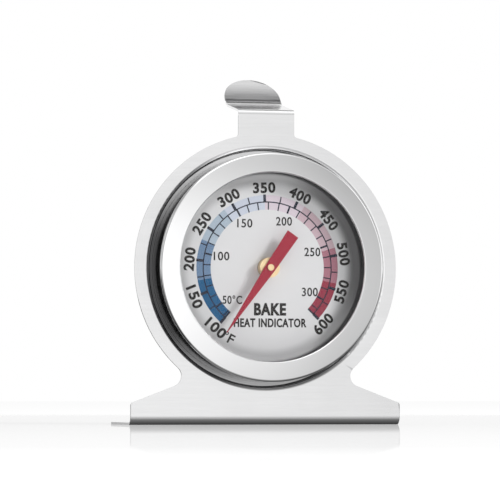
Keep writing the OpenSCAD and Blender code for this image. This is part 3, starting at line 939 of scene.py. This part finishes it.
class THERMO_OT_figures(bpy.types.Operator):
    """Figures of both scales and the plain legend"""

    bl_idname = "thermo.figures"
    bl_label = "Figures"

    def execute(self, context):
        dial = context.scene.thermo_dial
        z = dial_face()
        ink = paint("Lettering ink", dial.ink, roughness=0.4, grain=0.05, drift=0.25)

        figures = bmesh.new()
        bold = 0.125 * MM
        for degrees in range(100, 601, 50):
            turn = fahrenheit_angle(dial, degrees)
            inward = degrees < 200 or degrees > 500
            word = lettering(str(degrees), dial.figure_w, dial.figure_h, bold, dial.ink_t)
            join_into(figures, word, self.on_circle(dial.figure_r, turn, inward, z))
        # Each sign's width, height, boldness and radius in millimetres, and its angle in degrees
        for sign, width, height, bold, radius, turn in (
            ("°", 0.85, 0.85, 0.04, 17.3, -147.6), ("F", 1.35, 2.2, 0.06, 18.0, -152.4),
        ):
            word = lettering(sign, width * MM, height * MM, bold * MM, dial.ink_t)
            join_into(figures, word, self.on_circle(radius * MM, math.radians(turn), True, z))
        add_piece("fahrenheit_figures", figures, ink, "root", matrix=ON_DIAL)

        labels = bmesh.new()
        # Each figure's middle and width, in millimetres
        places = {
            "50°C": (-8.06, -7.16, 4.5), "100": (-10.56, 2.54, 3.6), "150": (-5.22, 9.94, 3.5),
            "200": (3.82, 10.46, 3.7), "250": (10.38, 3.66, 3.7), "300": (9.8, -5.32, 3.7),
        }
        for text, (x, y, width) in places.items():
            word = lettering(text, width * MM, 1.95 * MM, 0.045 * MM, dial.ink_t)
            join_into(labels, word, Matrix.Translation((x * MM, y * MM, z)))
        add_piece("celsius_figures", labels, ink, "root", matrix=ON_DIAL)

        legend = bmesh.new()
        middle = 0.6 * MM
        for text, y, width, height, bold in (
            ("BAKE", -9.25, 7.4, 2.8, 0.15), ("HEAT INDICATOR", -12.28, 16.7, 2.0, 0.08),
        ):
            word = lettering(text, width * MM, height * MM, bold * MM, dial.ink_t)
            join_into(legend, word, Matrix.Translation((middle, y * MM, z)))
        add_piece("dial_legend", legend, ink, "root", matrix=ON_DIAL)
        return {"FINISHED"}

    @staticmethod
    def on_circle(radius, turn, inward, z):
        """Where a word sits on the dial: its top points outwards, or inwards."""
        spot = Vector((radius * math.sin(turn), radius * math.cos(turn), z))
        tilt = -turn + (math.pi if inward else 0)
        return Matrix.Translation(spot) @ Matrix.Rotation(tilt, 4, "Z")


class THERMO_OT_pointer(bpy.types.Operator):
    """Painted pointer"""

    bl_idname = "thermo.pointer"
    bl_label = "Pointer"

    def execute(self, context):
        dial = context.scene.thermo_dial
        material = paint("Pointer paint", dial.pointer, roughness=0.35, grain=0.08, coat=0.15, drift=0.12)
        add_piece(
            "pointer_blade", copy_of("pointer", 0.05 * MM), material, "pointer_shaft",
            replaces=["pointer"],
        )
        return {"FINISHED"}


# How bright the studio looks in the steel: by the angle up from the front over the top, and by
# the angle to the side, in degrees
TONES_OVER = (
    (-180, 0.02), (-130, 0.04), (-90, 0.08), (-54, 0.16), (-24, 0.46), (-10, 0.7), (-1, 0.8), (8, 0.74),
    (18, 0.5), (40, 0.7), (62, 0.95), (80, 1.15), (90, 1.05), (99, 0.35), (104, 0.0), (152, 0.0),
    (157, 0.8), (180, 0.7),
)
TONES_ACROSS = (
    (-90, 0.1), (-80, 0.8), (-62, 1.0), (-48, 0.3), (-36, 0.35), (-24, 1.3), (-2, 1.28), (8, 1.08),
    (15, 1.0), (24, 0.72), (33, 0.62), (44, 0.64), (52, 1.4), (80, 1.4), (88, 0.1),
)


class THERMO_OT_stage(bpy.types.Operator):
    """Camera, floor, lights and surroundings"""

    bl_idname = "thermo.stage"
    bl_label = "Stage"

    def execute(self, context):
        scene = context.scene
        stage = scene.thermo_stage
        scene.view_settings.view_transform = "Standard"
        self.camera(scene, stage)
        self.floor(scene)
        self.surroundings(scene)
        self.key_light(scene)
        return {"FINISHED"}

    @staticmethod
    def camera(scene, stage):
        """A long lens, low and to the left of the dial's axis."""
        data = bpy.data.cameras.new("Camera")
        data.lens = stage.lens
        data.sensor_width = 36.0
        data.clip_end = 20.0
        camera = bpy.data.objects.new("Camera", data)
        scene.collection.objects.link(camera)
        aim = Vector(stage.aim)
        camera.location = Vector((
            aim.x + stage.distance * math.sin(stage.azimuth),
            aim.y - stage.distance * math.cos(stage.azimuth),
            stage.eye,
        ))
        camera.rotation_euler = (aim - camera.location).to_track_quat("-Z", "Y").to_euler()
        scene.camera = camera

    @staticmethod
    def floor(scene):
        """A white floor that mirrors a little at grazing angles, near the object only."""
        bm = bmesh.new()
        bmesh.ops.create_grid(bm, x_segments=8, y_segments=8, size=3.0)
        mesh = bpy.data.meshes.new("Floor")
        bm.to_mesh(mesh)
        bm.free()
        floor = bpy.data.objects.new("Floor", mesh)
        scene.collection.objects.link(floor)
        material, hand, shader = new_material("Floor")
        grain = hand.node("ShaderNodeTexNoise", noise_dimensions="3D")
        hand.set(grain, Scale=40.0)
        vector = object_vector(hand, location=(-AXIS.x, -AXIS.y, 0))
        hand.link(vector, grain.inputs["Vector"])
        hand.link(hand.ramp(grain.outputs[0], [(0.0, 0.5), (1.0, 0.52)]), shader.inputs["Base Color"])
        shader.inputs["Roughness"].default_value = 0.9
        shader.inputs["Specular IOR Level"].default_value = 0.0
        shader.inputs["Emission Color"].default_value = (1, 1, 1, 1)
        shader.inputs["Emission Strength"].default_value = 0.66
        reach = hand.node("ShaderNodeVectorMath", operation="LENGTH")
        hand.link(vector, reach.inputs[0])
        polish = [(0.0, 0.6), (0.15, 0.55), (0.33, 0.45), (0.4, 0.2), (0.46, 0.0)]
        gloss = hand.ramp(reach.outputs["Value"], polish)
        mirror = hand.node("ShaderNodeBsdfGlossy")
        mirror.inputs["Roughness"].default_value = 0.02
        grazing = hand.math("POWER", hand.node("ShaderNodeLayerWeight").outputs["Facing"], 5.0)
        mix = hand.node("ShaderNodeMixShader")
        hand.link(hand.math("MULTIPLY", gloss, grazing), mix.inputs[0])
        hand.link(shader.outputs[0], mix.inputs[1])
        hand.link(mirror.outputs[0], mix.inputs[2])
        hand.link(mix.outputs[0], material.node_tree.nodes["Material Output"].inputs["Surface"])
        mesh.materials.append(material)
        floor.visible_glossy = False

    @staticmethod
    def surroundings(scene):
        """A studio in bands of grey, which only the steel mirrors, before plain white."""
        world = bpy.data.worlds.new("Studio")
        scene.world = world
        world.use_nodes = True
        world.node_tree.nodes.clear()
        hand = Tree(world.node_tree)
        place = hand.node("ShaderNodeTexCoord")
        split = hand.node("ShaderNodeSeparateXYZ")
        hand.link(place.outputs["Generated"], split.inputs[0])
        x, y, z = split.outputs
        pitch = hand.math("ARCTAN2", z, hand.math("MULTIPLY", y, -1.0))
        side = hand.math("ARCSINE", x)
        over = hand.ramp(
            hand.math("ADD", hand.math("DIVIDE", pitch, 2 * math.pi), 0.5),
            [(deg / 360 + 0.5, tone) for deg, tone in TONES_OVER],
        )
        across = hand.ramp(
            hand.math("ADD", hand.math("DIVIDE", side, math.pi), 0.5),
            [(deg / 180 + 0.5, tone * 0.7) for deg, tone in TONES_ACROSS],
        )
        tone = hand.node("ShaderNodeMix", data_type="RGBA", blend_type="MULTIPLY")
        tone.inputs["Factor"].default_value = 1.0
        hand.link(over, tone.inputs["A"])
        hand.link(across, tone.inputs["B"])
        behind = hand.node("ShaderNodeMix", data_type="RGBA")
        behind.inputs["B"].default_value = (0.55, 0.55, 0.55, 1)
        raised = hand.fade(z, -0.12, -0.02)
        hand.link(hand.math("MULTIPLY", hand.fade(y, 0.3, 0.7), raised), behind.inputs["Factor"])
        hand.link(tone.outputs["Result"], behind.inputs["A"])
        mirror = hand.node("ShaderNodeBackground")
        mirror.inputs["Strength"].default_value = 1.82
        hand.link(behind.outputs["Result"], mirror.inputs["Color"])
        rays = hand.node("ShaderNodeLightPath")
        soft = hand.node("ShaderNodeBackground")
        soft.inputs["Strength"].default_value = 0.6
        white = hand.node("ShaderNodeBackground")
        white.inputs["Strength"].default_value = 1.0
        for shader in (soft, white):
            shader.inputs["Color"].default_value = (1, 1, 1, 1)
        seen = hand.node("ShaderNodeMixShader")
        hand.link(rays.outputs["Is Camera Ray"], seen.inputs[0])
        hand.link(soft.outputs[0], seen.inputs[1])
        hand.link(white.outputs[0], seen.inputs[2])
        mix = hand.node("ShaderNodeMixShader")
        hand.link(rays.outputs["Is Glossy Ray"], mix.inputs[0])
        hand.link(seen.outputs[0], mix.inputs[1])
        hand.link(mirror.outputs[0], mix.inputs[2])
        out = hand.node("ShaderNodeOutputWorld")
        hand.link(mix.outputs[0], out.inputs[0])

    @staticmethod
    def key_light(scene):
        """A soft lamp to the right, for the shadow in the dial's rim and beside the pointer."""
        data = bpy.data.lights.new("Key", "AREA")
        data.shape = "DISK"
        data.size = 0.22
        data.energy = 4.1
        lamp = bpy.data.objects.new("Key", data)
        scene.collection.objects.link(lamp)
        lamp.location = (0.58, -0.58, 0.42)
        to_dial = Vector((0, 0, DIAL_H)) - lamp.location
        lamp.rotation_euler = to_dial.to_track_quat("-Z", "Y").to_euler()
        lamp.visible_glossy = False


class THERMO_PT_panel(bpy.types.Panel):
    """Lists the thermometer's pieces and settings"""

    bl_idname = "THERMO_PT_panel"
    bl_label = "Dial oven thermometer"
    bl_space_type = "VIEW_3D"
    bl_region_type = "UI"
    bl_category = "Thermometer"

    def draw(self, context):
        for operator in OPERATORS:
            self.layout.operator(operator.bl_idname)
        for settings in (context.scene.thermo_metal, context.scene.thermo_dial, context.scene.thermo_stage):
            column = self.layout.column(align=True)
            for key in settings.__annotations__:
                column.prop(settings, key)


SETTINGS = {"thermo_metal": MetalSettings, "thermo_dial": DialSettings, "thermo_stage": StageSettings}
OPERATORS = (
    THERMO_OT_stand, THERMO_OT_case, THERMO_OT_bezel, THERMO_OT_lens, THERMO_OT_dial, THERMO_OT_scale,
    THERMO_OT_figures, THERMO_OT_pointer, THERMO_OT_stage,
)


def register():
    for settings in SETTINGS.values():
        bpy.utils.register_class(settings)
    for operator in OPERATORS:
        bpy.utils.register_class(operator)
    bpy.utils.register_class(THERMO_PT_panel)
    for key, settings in SETTINGS.items():
        setattr(bpy.types.Scene, key, bpy.props.PointerProperty(type=settings))


def unregister():
    for key in SETTINGS:
        delattr(bpy.types.Scene, key)
    bpy.utils.unregister_class(THERMO_PT_panel)
    for operator in reversed(OPERATORS):
        bpy.utils.unregister_class(operator)
    for settings in SETTINGS.values():
        bpy.utils.unregister_class(settings)


def main():
    """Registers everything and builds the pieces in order."""
    register()
    for operator in OPERATORS:
        group, name = operator.bl_idname.split(".")
        getattr(getattr(bpy.ops, group), name)()


if __name__ == "__main__":
    main()
